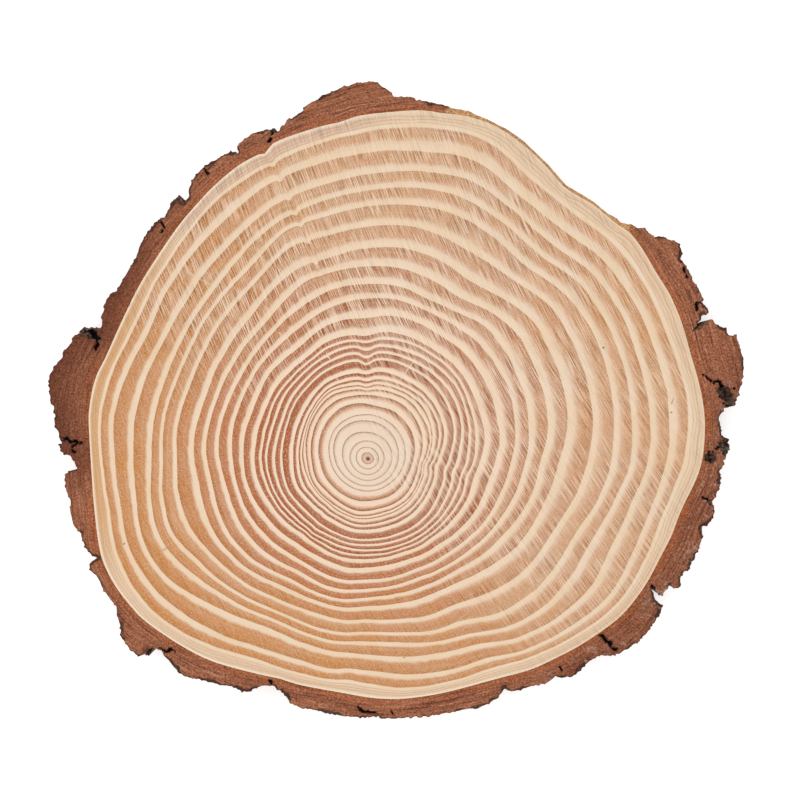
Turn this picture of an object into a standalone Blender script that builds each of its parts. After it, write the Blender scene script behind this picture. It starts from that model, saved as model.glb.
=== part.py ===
"""A slice cut across a softwood log, lying flat: sawn wood in the middle, furrowed bark all round.

The wood and the bark grew as one piece, so the slice is one solid. +Z is up, along the log's axis.
The origin is the middle of the slice's bounding box at the base. Lengths are in millimetres until the
mesh is made, and in metres after that.
"""

import math

import bmesh
import bpy
from mathutils import Vector, geometry, kdtree, noise

# Driving dimensions, in millimetres
SLICE_WIDTH = 287.0  # along X, over the bark
SLICE_THICKNESS = 20.0
BARK_SHRINKAGE = 0.4  # dry bark stands this much back from each sawn face
WOOD_EDGE_STEP = 4.0  # spacing of the points along the edge of the wood
BARK_EDGE_STEP = 2.6  # spacing of the points along a long run of the bark's broken edge
TORN_DEPTH = 0.45  # how far the bark's broken edge strays from a straight run
TORN_SIZE = 1.9  # size of the tears along that edge
FURROW_DEPTH = 2.0  # how far the bark's side falls back between its ridges
FURROW_SIZE = 7.0  # width of those ridges, which run up and down
FURROW_STRETCH = 0.45  # the ridges' frequency along the height against that across it
FLAKE_DEPTH = 0.7  # relief of the flakes on the ridges
FLAKE_SIZE = 3.0  # size of the flakes
FULL_BARK = 9.0  # bark at least this thick is furrowed to the full depth
BARK_ROWS = (0.0, 0.08, 0.24, 0.43, 0.62, 0.81, 1.0)  # rows on the bark's side, from its top edge down
SETTLED_ROW = BARK_ROWS[2]  # the furrows have their full depth from this row down
SHELF_SLOPE = 1.35  # a shelf's slope starts at this many times its radius
SHELF_MARGIN = 1.2  # least gap between a shelf's points and the edges of the bark
SHELF_TURN = 30  # degrees between the points round a shelf
HOLLOW_LEVEL = 0.5  # how hollow the bark's side is on average, from 0 to 1
HOLLOW_CONTRAST = 0.8
HANDLE_PART = 6  # a smooth curve's handle is this part of the line between the points on either side

# The bark's edge seen from above, clockwise from the upper left, from plate to plate
UPPER_LEFT_PLATES = (
    (-101.6, 70.7), (-98.8, 73.8), (-98.1, 74.4), (-95.9, 75.4), (-94.8, 77.3), (-93.3, 80.4),
    (-92.5, 82.1), (-91.1, 82.8), (-89.7, 84.8), (-89.0, 84.1), (-88.7, 82.4), (-88.1, 81.3),
    (-87.4, 81.3), (-85.7, 83.7), (-85.4, 87.0), (-84.5, 90.4), (-82.1, 93.6), (-78.7, 96.8),
    (-73.2, 99.9), (-69.5, 101.9), (-68.4, 102.8), (-67.5, 102.3), (-66.2, 102.5), (-65.7, 101.8),
    (-65.1, 102.3), (-65.8, 103.9), (-65.3, 105.2), (-64.4, 106.3), (-59.6, 109.8), (-57.2, 110.7),
    (-53.0, 111.9), (-51.0, 112.7), (-49.8, 111.9), (-49.2, 111.0), (-48.6, 111.7), (-47.3, 113.3),
    (-46.3, 113.5),
)
TOP_LOBE = (
    (-45.3, 115.8), (-43.1, 116.2), (-41.0, 117.8), (-38.5, 119.5), (-38.7, 120.8), (-35.2, 122.4),
    (-29.5, 126.1), (-25.3, 127.7), (-22.0, 129.1), (-17.1, 130.8), (-14.2, 131.0), (-12.2, 131.4),
    (-8.0, 131.2), (-6.0, 129.4), (-3.5, 127.9), (-1.0, 125.1), (6.0, 125.2), (8.0, 123.6),
    (9.7, 123.6), (17.9, 122.0), (22.5, 120.5), (30.1, 119.1), (32.3, 117.8), (37.7, 115.6),
)
BARE_EDGE = (
    (46.8, 110.8), (52.5, 106.7), (58.3, 101.1), (62.4, 97.2), (65.9, 93.1), (69.8, 88.6),
    (76.4, 84.7), (81.4, 81.6), (87.1, 76.8), (90.8, 75.0), (92.5, 73.1),
)
UPPER_RIGHT_PLATES = (
    (97.0, 72.1), (99.5, 70.9), (102.4, 71.1), (104.0, 68.8), (106.5, 67.3), (111.0, 67.2),
    (113.1, 65.5), (114.3, 66.1), (116.4, 64.7), (117.6, 62.0), (118.0, 60.2), (117.2, 58.3),
    (118.7, 56.4), (121.3, 52.1), (122.4, 49.0), (124.6, 46.1), (126.7, 41.4), (125.7, 40.4),
    (127.5, 39.1), (129.0, 36.7), (128.8, 35.8), (126.1, 34.8), (125.0, 33.0), (122.0, 28.2),
)
RIGHT_LOBE = (
    (127.5, 32.1), (130.0, 33.4), (132.0, 31.1), (134.5, 30.1), (136.0, 29.5), (137.0, 26.4),
    (140.0, 26.8), (141.1, 23.9), (142.3, 19.8), (143.2, 16.1), (143.0, 9.7), (142.2, 3.3),
    (140.9, 0.8), (140.1, -2.5), (137.0, -3.3), (135.8, -1.9),
)
RIGHT_KNOBS = (
    (134.9, -4.5), (132.9, -7.0), (133.5, -10.3), (134.3, -15.0), (137.0, -15.7), (137.6, -18.1),
    (137.8, -20.6), (137.2, -22.2), (135.3, -25.1), (134.5, -28.0), (133.3, -29.3), (133.7, -30.7),
    (133.4, -35.4), (131.6, -40.0), (130.0, -42.4), (131.2, -44.9), (130.6, -48.6), (127.9, -52.2),
    (126.1, -51.7), (126.3, -56.0), (125.0, -60.6), (123.0, -64.7), (120.5, -70.0), (118.7, -70.9),
    (117.2, -73.3), (117.2, -76.6), (115.6, -77.7), (113.8, -77.2), (112.7, -76.6), (111.7, -77.5),
    (109.8, -80.3), (108.6, -80.5), (106.9, -79.3), (105.1, -77.5),
)
LOWER_RIGHT_PLATES = (
    (106.7, -82.4), (109.8, -84.9), (108.6, -88.6), (106.1, -91.9), (103.2, -96.4), (100.3, -99.3),
    (95.8, -102.2), (92.5, -104.2), (87.5, -105.5), (84.3, -105.2), (82.6, -105.9), (79.7, -107.9),
    (76.8, -110.4), (74.0, -113.3), (68.2, -114.8), (65.7, -113.9), (64.1, -115.4), (61.6, -117.0),
    (56.6, -117.8), (51.3, -119.5), (47.2, -120.3), (44.7, -119.1), (42.6, -121.4), (41.0, -123.2),
    (35.2, -126.5), (33.6, -127.3), (28.6, -127.5), (22.7, -129.0),
)
BOTTOM_PLATES = (
    (12.2, -130.4), (-0.6, -131.4), (-6.8, -131.4), (-7.6, -130.4), (-14.2, -131.0), (-22.5, -130.4),
    (-31.1, -128.5), (-37.7, -127.3), (-43.5, -125.2), (-45.1, -123.2), (-46.1, -121.5),
    (-48.4, -119.5), (-50.9, -117.8), (-55.0, -117.8), (-59.1, -119.1), (-59.9, -120.1),
    (-63.7, -120.3), (-65.7, -119.1), (-69.4, -117.8), (-77.2, -116.4), (-82.4, -114.9),
    (-87.1, -114.1),
)
LOWER_LEFT_PLATES = (
    (-89.6, -112.5), (-91.8, -110.4), (-93.9, -107.5), (-96.0, -105.5), (-97.0, -103.2),
    (-98.7, -102.5), (-100.7, -103.2), (-102.4, -105.9), (-104.4, -105.5), (-106.5, -105.9),
    (-110.6, -102.2), (-113.5, -98.1), (-114.1, -92.7), (-115.2, -89.0), (-115.6, -85.3),
    (-121.3, -77.7), (-123.8, -72.5), (-126.7, -70.0), (-126.3, -67.0), (-123.5, -65.1),
    (-125.9, -63.9), (-128.6, -60.6), (-130.2, -55.2), (-133.0, -52.3), (-134.5, -46.8),
    (-134.5, -41.6), (-136.6, -36.7), (-136.8, -30.9), (-134.5, -29.1), (-131.7, -28.4),
)
LEFT_LOBE = (
    (-133.3, -24.7), (-135.2, -22.7), (-138.0, -22.7), (-139.0, -20.2), (-139.9, -18.5),
    (-138.4, -17.7), (-139.7, -12.8), (-141.0, -10.7), (-140.8, -6.6), (-141.4, -2.5),
    (-142.5, -1.2), (-143.2, 3.7), (-143.6, 7.8), (-142.8, 11.1), (-139.5, 16.1), (-138.1, 17.5),
    (-137.0, 20.6), (-134.7, 22.8), (-133.3, 26.0), (-130.4, 29.3), (-129.2, 30.2), (-128.1, 29.3),
    (-126.3, 30.1), (-124.1, 29.7), (-122.2, 30.1),
)
LEFT_EDGE = (
    (-121.5, 33.0), (-122.2, 34.2), (-120.5, 37.1), (-120.9, 38.7), (-119.3, 42.0), (-117.0, 44.5),
    (-115.6, 44.9), (-113.1, 49.4), (-110.0, 54.8), (-107.1, 59.3), (-106.3, 63.0), (-103.4, 68.4),
)

# The edge of the wood under the bark, clockwise from the upper left. It is smooth but for two nicks.
WOOD_EDGE = (
    (-91.1, 70.1), (-82.4, 80.6), (-75.1, 88.3), (-65.5, 96.4), (-56.7, 101.2), (-54.3, 101.5),
    (-53.0, 103.2), (-51.0, 105.6), (-44.2, 108.6), (-30.7, 112.9), (-23.5, 114.4), (-17.5, 116.6),
    (-9.3, 118.0), (9.3, 119.4), (17.9, 118.3), (26.2, 117.4), (34.0, 115.6), (41.8, 112.3),
    (51.4, 105.8), (61.6, 96.4), (69.2, 87.7), (80.8, 80.6), (86.5, 76.0), (91.7, 71.9),
    (95.8, 69.3), (101.1, 62.6), (107.7, 51.4), (112.5, 43.8), (116.4, 34.9), (118.9, 27.4),
    (121.2, 18.9), (124.2, 8.7), (126.4, -1.9), (127.1, -12.4), (125.9, -25.1), (123.0, -33.8),
    (118.9, -42.0), (116.0, -48.6), (113.5, -55.6), (109.8, -62.8), (103.6, -74.6), (98.3, -82.3),
    (92.5, -89.0), (84.3, -95.4), (74.4, -101.8), (65.7, -106.3), (55.4, -111.0), (42.6, -114.5),
    (20.8, -120.3), (8.9, -122.4), (-0.6, -123.2), (-10.9, -122.6), (-22.5, -120.6), (-40.2, -117.3),
    (-48.4, -114.7), (-56.2, -113.1), (-75.2, -107.9), (-88.4, -101.4), (-102.4, -92.0),
    (-108.6, -86.0), (-115.6, -77.0), (-120.3, -68.2), (-122.6, -60.0), (-124.5, -44.9),
    (-125.7, -29.1), (-126.8, -10.0), (-126.6, -3.7), (-125.3, 4.3), (-123.3, 10.9), (-120.2, 16.9),
    (-112.3, 34.4), (-104.4, 49.9),
)

# Shelves and hollows where a bark plate broke away below the sawn face: x, y, radius and drop
SHELVES = (
    (137.8, 2.0, 5.0, 4.0),
    (136.2, -20.2, 4.0, 3.2),
    (129.4, -23.6, 2.2, 3.2),
    (-127.8, 28.8, 4.6, 3.2),
    (-50.4, 112.0, 2.2, 2.6),
    (-139.2, -20.4, 2.8, 2.6),
    (-102.6, -104.8, 3.0, 2.2),
)

BARK_STRETCHES = (
    UPPER_LEFT_PLATES, TOP_LOBE, BARE_EDGE, UPPER_RIGHT_PLATES, RIGHT_LOBE, RIGHT_KNOBS,
    LOWER_RIGHT_PLATES, BOTTOM_PLATES, LOWER_LEFT_PLATES, LEFT_LOBE, LEFT_EDGE,
)

METRES_PER_MM = 0.001
INSIDE = 1  # the kind of triangulation that keeps what lies within its loops
FILL_EPSILON = 1e-5
WOOD = 0  # material slots
BARK = 1

WOOD_COLOUR = (0.72, 0.47, 0.26, 1.0)
BARK_COLOUR = (0.23, 0.09, 0.05, 1.0)


def clear_scene():
    for old in list(bpy.data.objects):
        bpy.data.objects.remove(old, do_unlink=True)


def smooth_loop(corners, step):
    """A closed curve through the corners, as points about one step apart."""
    loop = []
    count = len(corners)
    for i in range(count):
        before, start, end, after = (Vector(corners[(i + k) % count]) for k in (-1, 0, 1, 2))
        first_handle = start + (end - before) / HANDLE_PART
        second_handle = end - (after - start) / HANDLE_PART
        pieces = max(1, round((end - start).length / step))
        curve = geometry.interpolate_bezier(start, first_handle, second_handle, end, pieces + 1)
        loop.extend(curve[:-1])
    return loop


def torn_loop(stretches, step, smooth_stretch):
    """A closed line through all the stretches, with its long runs split and torn a little out of line."""
    corners = [(Vector(point), stretch is smooth_stretch) for stretch in stretches for point in stretch]
    loop = []
    for (start, is_smooth), (end, _) in zip(corners, corners[1:] + corners[:1]):
        pieces = max(1, round((end - start).length / step))
        across = Vector((start.y - end.y, end.x - start.x)).normalized()
        for k in range(pieces):
            point = start.lerp(end, k / pieces)
            if k and not is_smooth:
                point += across * TORN_DEPTH * noise.noise(point.to_3d() / TORN_SIZE)
            loop.append(point)
    return loop


class Edge:
    """A closed line whose nearest point to a place can be asked for."""

    def __init__(self, points):
        self.points = points
        self.tree = kdtree.KDTree(len(points))
        for i, point in enumerate(points):
            self.tree.insert(point.to_3d(), i)
        self.tree.balance()

    def nearest(self, place):
        found, _, distance = self.tree.find(place.to_3d())
        return found.to_2d(), distance


def hollow(spot):
    """A share from 0, on a ridge, to 1, in a furrow."""
    return min(1.0, max(0.0, HOLLOW_LEVEL + HOLLOW_CONTRAST * noise.noise(spot)))


def furrowed(point, thickness, share):
    """Where the bark's side lies at a share of its height. It only falls back, and most where it is thick."""
    height = share * SLICE_THICKNESS
    furrow = hollow(Vector((point.x, point.y, height * FURROW_STRETCH)) / FURROW_SIZE)
    flake = hollow(Vector((point.x, point.y, height)) / FLAKE_SIZE)
    fall = (FURROW_DEPTH * furrow + FLAKE_DEPTH * flake) * min(1.0, thickness / FULL_BARK)
    return point - point.normalized() * fall * min(1.0, share / SETTLED_ROW)


def shelf_drop(point):
    """How far the sawn face of the bark is broken down at a point."""
    drop = 0.0
    for x, y, radius, deepest in SHELVES:
        away = (point - Vector((x, y))).length / radius
        drop = max(drop, deepest * min(1.0, (SHELF_SLOPE - away) / (SHELF_SLOPE - 1)))
    return max(0.0, drop)


def shelf_points(bark_edge, wood_edge):
    """Points on the sawn bark along the foot and the top of each shelf's slope, so that the slope stays short."""
    found = []
    for x, y, radius, _ in SHELVES:
        found.append(Vector((x, y)))
        for share in (1.0, SHELF_SLOPE):
            for turn in range(0, 360, SHELF_TURN):
                angle = math.radians(turn)
                away = Vector((math.cos(angle), math.sin(angle))) * share * radius
                found.append(Vector((x, y)) + away)
    return [point for point in found if lies_on_bark(point, bark_edge, wood_edge)]


def lies_on_bark(point, bark_edge, wood_edge):
    outer, outer_gap = bark_edge.nearest(point)
    inner, inner_gap = wood_edge.nearest(point)
    between = inner.length < point.length < outer.length
    return between and outer_gap > SHELF_MARGIN and inner_gap > SHELF_MARGIN


def fill(mesh, rim, hole, inside, material):
    """Fills the sawn face between the vertices of a rim and those of a hole, through the vertices inside.

    Both run clockwise, so they are turned round for the triangulation, which wants them anticlockwise.
    """
    verts = rim + hole + inside
    flat = [vert.co.to_2d() for vert in verts]
    outer = list(reversed(range(len(rim))))
    inner = list(reversed(range(len(rim), len(rim) + len(hole))))
    loops = [outer, inner] if hole else [outer]
    _, _, faces, sources, _, owners = geometry.delaunay_2d_cdt(flat, [], loops, INSIDE, FILL_EPSILON)
    for face, owner in zip(faces, owners):
        if list(owner) == [0]:
            mesh.faces.new([verts[sources[i][0]] for i in face]).material_index = material


def bridge(mesh, upper, lower, material):
    """Joins two rows of vertices with the same count by a band of triangles."""
    count = len(upper)
    for i in range(count):
        a, b = upper[i], upper[(i + 1) % count]
        c, d = lower[(i + 1) % count], lower[i]
        for corners in ((a, b, c), (a, c, d)):
            mesh.faces.new(corners).material_index = material


def row(mesh, points, heights):
    return [mesh.verts.new((point.x, point.y, z)) for point, z in zip(points, heights)]


def level(mesh, points, height):
    return row(mesh, points, [height] * len(points))


def build_bark_side(mesh, bark_edge, wood_edge):
    """The bark's furrowed side. Returns its top and bottom rows of vertices."""
    thickness = [wood_edge.nearest(point)[1] for point in bark_edge.points]
    top = [SLICE_THICKNESS - BARK_SHRINKAGE - shelf_drop(point) for point in bark_edge.points]
    rows = []
    for share in BARK_ROWS:
        points = [furrowed(point, t, share) for point, t in zip(bark_edge.points, thickness)]
        heights = [z + (BARK_SHRINKAGE - z) * share for z in top]
        rows.append(row(mesh, points, heights))
    for upper, lower in zip(rows, rows[1:]):
        bridge(mesh, upper, lower, BARK)
    return rows[0], rows[-1]


def build_sawn_face(mesh, bark_row, bark_points, wood_edge, bark_height, wood_height):
    """One sawn face: the bark all round, the small step at the edge of the wood, and the flat wood."""
    wood_foot = level(mesh, wood_edge.points, bark_height)
    wood_rim = level(mesh, wood_edge.points, wood_height)
    shelf_heights = [bark_height - shelf_drop(point) for point in bark_points]
    fill(mesh, bark_row, wood_foot, row(mesh, bark_points, shelf_heights), BARK)
    bridge(mesh, wood_foot, wood_rim, WOOD)
    fill(mesh, wood_rim, [], [], WOOD)


def slice_mesh():
    bark_edge = Edge(torn_loop(BARK_STRETCHES, BARK_EDGE_STEP, BARE_EDGE))
    wood_edge = Edge(smooth_loop(WOOD_EDGE, WOOD_EDGE_STEP))
    mesh = bmesh.new()
    top_row, bottom_row = build_bark_side(mesh, bark_edge, wood_edge)
    shelves = shelf_points(bark_edge, wood_edge)
    top = SLICE_THICKNESS
    build_sawn_face(mesh, top_row, shelves, wood_edge, top - BARK_SHRINKAGE, top)
    build_sawn_face(mesh, bottom_row, [], wood_edge, BARK_SHRINKAGE, 0.0)
    bmesh.ops.delete(mesh, geom=[vert for vert in mesh.verts if not vert.link_faces], context="VERTS")
    bmesh.ops.recalc_face_normals(mesh, faces=mesh.faces)
    return mesh


def set_size_and_origin(mesh):
    """Brings the slice to its real width in metres, with the middle of its base at the origin."""
    xs = [vert.co.x for vert in mesh.verts]
    ys = [vert.co.y for vert in mesh.verts]
    middle = Vector(((min(xs) + max(xs)) / 2, (min(ys) + max(ys)) / 2, 0.0))
    across = SLICE_WIDTH / (max(xs) - min(xs))
    for vert in mesh.verts:
        place = vert.co - middle
        vert.co = Vector((place.x * across, place.y * across, place.z)) * METRES_PER_MM


def plain_material(name, colour, roughness):
    material = bpy.data.materials.new(name)
    material.use_nodes = True
    shader = material.node_tree.nodes["Principled BSDF"]
    shader.inputs["Base Color"].default_value = colour
    shader.inputs["Roughness"].default_value = roughness
    shader.inputs["Metallic"].default_value = 0.0
    return material


def build_slice():
    mesh = slice_mesh()
    set_size_and_origin(mesh)
    data = bpy.data.meshes.new("wood_slice")
    mesh.to_mesh(data)
    mesh.free()
    data.materials.append(plain_material("sawn_wood", WOOD_COLOUR, 0.6))
    data.materials.append(plain_material("bark", BARK_COLOUR, 0.9))
    wood_slice = bpy.data.objects.new("wood_slice", data)
    bpy.context.collection.objects.link(wood_slice)


clear_scene()
build_slice()
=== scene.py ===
"""The looks of a slice cut across a softwood log: sawn wood with growth rings, and furrowed bark round it.

Two pieces stand for the one CAD solid: the sawn wood, whose mesh follows the rings, and the bark.
Lengths are named in millimetres and turned into metres by MM. In materials, places are in metres.
"""

import math

import bmesh
import bpy
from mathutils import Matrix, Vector, bvhtree, geometry, kdtree, noise


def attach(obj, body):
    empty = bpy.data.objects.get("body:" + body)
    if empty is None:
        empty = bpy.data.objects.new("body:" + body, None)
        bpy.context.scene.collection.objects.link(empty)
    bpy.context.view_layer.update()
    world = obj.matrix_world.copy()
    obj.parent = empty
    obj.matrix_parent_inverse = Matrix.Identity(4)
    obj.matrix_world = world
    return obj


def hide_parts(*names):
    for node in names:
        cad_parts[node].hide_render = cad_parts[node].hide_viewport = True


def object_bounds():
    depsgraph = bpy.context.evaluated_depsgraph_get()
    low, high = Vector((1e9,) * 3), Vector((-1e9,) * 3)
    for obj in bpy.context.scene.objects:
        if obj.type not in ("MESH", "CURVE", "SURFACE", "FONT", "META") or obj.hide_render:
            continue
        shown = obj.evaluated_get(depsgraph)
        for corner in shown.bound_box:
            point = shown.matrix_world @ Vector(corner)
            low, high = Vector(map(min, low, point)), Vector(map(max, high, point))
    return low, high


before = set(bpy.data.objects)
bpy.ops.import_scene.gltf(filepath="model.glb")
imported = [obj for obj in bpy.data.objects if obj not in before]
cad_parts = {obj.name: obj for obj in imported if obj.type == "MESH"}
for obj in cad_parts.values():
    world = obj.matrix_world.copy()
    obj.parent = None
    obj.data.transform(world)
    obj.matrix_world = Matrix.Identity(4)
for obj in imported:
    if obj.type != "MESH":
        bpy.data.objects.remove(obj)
cad_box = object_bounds()

MM = 0.001
TOP = 20.0  # height of the sawn face of the wood
BARK_TOP = 19.6  # height of the sawn face of the bark, which has shrunk back
BARK_BASE = 0.4
HALF_STEP = 0.2  # half of what the wood stands out beyond the bark
SHELF_LEVEL = 14.0  # the CAD's shelves, where plates of bark broke away, all lie above this height
CRACK_LEVEL = 12.0  # and the cracks in them above this one
PITH = Vector((-11.47, -24.33))  # the middle of the rings
TURN = 360.0

# Outer edge of each growth ring in millimetres from the pith, outermost ring first,
# read every 10 degrees anticlockwise from the right
WIDE_RINGS = (
    (130.1, 133.7, 133.2, 134.3, 134.7, 132.0, 133.6, 139.9, 139.0, 135.1, 131.1, 127.3,
     123.5, 118.3, 113.9, 110.8, 111.0, 111.5, 109.6, 108.6, 110.2, 110.1, 106.5, 100.3,
     94.9, 92.9, 92.3, 92.7, 95.8, 97.6, 99.9, 105.9, 112.3, 118.6, 121.3, 123.8),
    (123.0, 125.6, 126.3, 127.1, 126.6, 123.7, 125.0, 130.3, 128.6, 126.2, 123.1, 120.4,
     115.2, 111.3, 107.9, 104.6, 105.2, 106.1, 104.4, 103.7, 105.0, 103.4, 99.0, 94.1,
     89.7, 87.6, 87.7, 87.2, 90.1, 92.8, 95.3, 102.0, 107.9, 113.8, 115.4, 118.1),
    (115.4, 117.6, 118.5, 120.1, 119.6, 116.5, 118.5, 122.1, 120.4, 117.3, 114.4, 111.5,
     106.3, 102.5, 98.8, 97.2, 97.5, 97.5, 96.7, 97.0, 98.4, 96.3, 89.9, 84.5,
     80.5, 80.3, 80.3, 80.5, 82.7, 85.2, 88.3, 95.8, 101.6, 105.7, 106.4, 109.8),
    (108.1, 110.0, 111.9, 113.0, 113.0, 109.9, 112.0, 114.5, 113.5, 110.7, 107.9, 104.7,
     99.8, 94.9, 92.4, 90.6, 89.7, 89.6, 89.2, 90.8, 91.6, 87.9, 83.1, 79.5,
     76.3, 75.9, 76.0, 75.2, 76.6, 80.2, 83.1, 89.9, 94.3, 96.3, 98.0, 102.7),
    (100.2, 102.7, 104.8, 106.2, 105.7, 102.7, 104.8, 106.9, 106.2, 104.2, 101.5, 99.8,
     93.6, 90.2, 88.1, 85.6, 85.2, 85.4, 84.7, 85.8, 86.2, 81.9, 78.6, 75.3,
     72.8, 72.3, 72.3, 71.2, 72.5, 75.4, 77.0, 82.7, 86.7, 88.9, 90.6, 96.0),
    (90.6, 94.0, 95.7, 97.0, 97.8, 95.2, 94.7, 96.3, 97.4, 95.9, 93.6, 93.0,
     87.5, 84.2, 82.1, 80.1, 79.3, 79.8, 78.8, 79.3, 78.6, 75.8, 73.0, 70.4,
     68.1, 67.2, 67.1, 66.1, 67.1, 68.8, 69.6, 73.2, 77.4, 80.2, 82.1, 86.7),
    (78.8, 83.3, 85.4, 86.7, 88.5, 86.2, 84.5, 86.8, 88.1, 86.8, 84.7, 83.6,
     79.6, 76.0, 73.8, 72.6, 71.6, 72.1, 71.6, 70.3, 70.4, 69.7, 67.5, 64.6,
     62.4, 62.2, 62.0, 60.7, 60.7, 61.2, 61.8, 63.8, 67.3, 70.9, 73.3, 75.8),
    (71.2, 75.1, 77.0, 78.5, 79.9, 78.9, 76.4, 78.2, 79.5, 79.3, 78.5, 77.2,
     72.7, 69.5, 68.3, 67.4, 67.0, 67.0, 66.4, 65.0, 65.0, 64.7, 63.1, 60.4,
     58.6, 58.8, 58.6, 57.1, 56.7, 56.8, 57.6, 58.7, 61.3, 63.6, 66.6, 69.3),
    (65.0, 67.1, 69.2, 70.3, 71.7, 72.5, 70.4, 70.2, 72.4, 72.2, 71.4, 69.4,
     67.0, 64.4, 63.2, 62.2, 62.1, 62.1, 61.2, 59.5, 59.0, 58.7, 57.4, 55.5,
     54.1, 54.7, 54.6, 53.3, 53.0, 52.8, 53.5, 54.8, 56.4, 58.5, 60.5, 62.7),
    (59.0, 61.5, 63.5, 65.0, 65.6, 65.6, 65.3, 65.6, 66.6, 66.1, 65.0, 62.9,
     60.5, 59.2, 58.7, 57.7, 57.0, 56.8, 55.8, 55.0, 54.4, 53.3, 51.9, 50.5,
     50.0, 50.5, 50.5, 49.4, 49.4, 49.2, 49.6, 50.5, 52.0, 54.0, 55.3, 57.0),
    (52.7, 54.9, 55.9, 57.1, 58.2, 59.0, 59.0, 59.7, 59.7, 57.9, 58.1, 56.8,
     54.3, 53.6, 53.4, 52.0, 51.4, 51.8, 51.3, 50.9, 49.6, 48.0, 46.7, 45.5,
     45.1, 45.2, 45.4, 44.6, 44.4, 44.4, 45.0, 45.7, 47.1, 48.5, 49.5, 50.5),
    (46.3, 48.8, 49.4, 50.4, 51.7, 52.3, 52.3, 53.0, 52.9, 51.5, 51.6, 50.9,
     49.0, 48.3, 47.8, 47.1, 46.8, 46.8, 46.8, 46.2, 44.8, 43.5, 42.2, 41.1,
     41.3, 41.9, 41.7, 41.3, 41.1, 40.9, 41.5, 41.8, 42.5, 43.2, 43.9, 43.9),
    (43.4, 44.9, 46.1, 47.4, 49.0, 49.8, 50.0, 50.5, 49.8, 49.3, 49.0, 48.4,
     46.8, 46.0, 45.3, 44.8, 43.8, 43.8, 43.9, 43.1, 42.3, 41.4, 40.1, 39.4,
     39.4, 39.8, 39.6, 39.3, 39.3, 39.2, 39.6, 40.1, 40.3, 40.7, 41.2, 41.0),
)

# The narrow rings inside those, every 20 degrees
NARROW_RINGS = (
    (40.3, 43.6, 46.5, 47.1, 46.8, 46.5, 44.6, 43.0, 41.2,
     41.6, 40.4, 38.2, 37.5, 37.4, 37.4, 37.7, 38.1, 38.5),
    (36.5, 40.7, 43.3, 44.0, 44.1, 43.5, 42.0, 40.0, 38.2,
     38.2, 37.8, 35.9, 35.3, 35.3, 35.0, 35.5, 35.8, 35.4),
    (33.2, 37.5, 39.8, 41.0, 41.2, 40.6, 39.4, 37.9, 35.9,
     35.3, 35.0, 33.3, 33.0, 33.2, 32.8, 33.1, 33.0, 32.0),
    (29.0, 33.1, 35.3, 35.9, 36.3, 35.9, 35.5, 33.2, 31.6,
     30.9, 31.0, 29.3, 28.8, 29.1, 28.8, 28.8, 28.6, 28.0),
    (27.0, 30.8, 33.3, 33.4, 33.2, 33.2, 33.2, 30.9, 29.2,
     28.7, 28.4, 27.2, 26.7, 27.0, 26.7, 26.6, 26.8, 26.0),
    (24.8, 28.0, 30.8, 31.2, 31.1, 31.0, 31.8, 29.8, 27.8,
     27.2, 26.0, 25.1, 24.8, 24.8, 24.5, 24.4, 24.2, 23.8),
    (23.6, 26.8, 28.4, 29.2, 28.9, 29.2, 30.2, 28.7, 27.0,
     25.5, 25.0, 24.2, 23.5, 23.7, 23.2, 23.1, 23.4, 22.8),
    (21.4, 23.8, 25.6, 26.5, 26.2, 26.7, 27.4, 26.4, 24.7,
     23.4, 23.0, 21.6, 21.4, 21.6, 21.1, 21.1, 21.3, 20.8),
    (18.7, 20.4, 21.5, 22.2, 22.1, 23.3, 23.8, 22.8, 21.5,
     20.1, 19.2, 18.4, 17.8, 17.5, 17.2, 17.5, 17.6, 17.7),
)

# The faint lines of the first years, every 45 degrees
FIRST_RINGS = (
    (15.3, 17.0, 18.2, 18.6, 15.8, 13.9, 13.3, 13.6),
    (12.4, 14.1, 15.7, 16.6, 13.8, 11.8, 11.2, 11.6),
    (9.8, 10.4, 11.0, 12.0, 10.4, 9.3, 8.9, 9.0),
    (6.6, 7.0, 7.5, 7.9, 7.6, 6.8, 6.6, 6.4),
    (4.3, 4.5, 4.9, 5.4, 5.0, 4.4, 4.2, 4.1),
    (2.4, 2.3, 2.7, 3.0, 2.7, 2.3, 2.1, 2.0),
)

# How much of each ring is latewood, and how strongly it is coloured, from the pith outwards
PITH_LOOKS = ((0.20, 0.75),)
FIRST_LOOKS = ((0.13, 0.72), (0.12, 0.72), (0.11, 0.70), (0.11, 0.80), (0.12, 0.80))
NARROW_LOOKS = (
    (0.42, 0.90), (0.38, 0.92), (0.36, 0.94), (0.32, 0.94), (0.40, 0.96), (0.42, 1.00), (0.54, 1.00),
    (0.58, 0.98), (0.54, 1.00),
)
WIDE_LOOKS = (
    (0.52, 1.00), (0.54, 1.00), (0.50, 1.00), (0.50, 1.00), (0.55, 1.00), (0.56, 1.00), (0.54, 1.00),
    (0.60, 1.00), (0.64, 0.92), (0.60, 1.00), (0.62, 1.00), (0.62, 1.00), (0.52, 1.00),
)
LAST_LOOKS = ((0.55, 0.45),)
RING_LOOKS = PITH_LOOKS + FIRST_LOOKS + NARROW_LOOKS + WIDE_LOOKS + LAST_LOOKS

# Places where the rings dip: the angle at the nearest and at the furthest radius, half width in degrees,
# depth, and those two radii
KINKS = (
    (91.0, 90.8, 4.2, 1.2, 31.0, 49.0),
    (91.0, 90.8, 3.4, 1.2, 42.0, 45.0),
    (104.7, 109.4, 0.5, 1.3, 82.0, 150.0),
    (353.6, 350.4, 4.6, 1.0, 25.0, 38.0),
    (265.0, 265.0, 2.6, 0.8, 88.0, 98.0),
    (228.0, 228.0, 3.4, 0.3, 26.0, 43.0),
)
KINK_FADE = 5.0  # over this much more radius the dip fades at both ends

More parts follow.
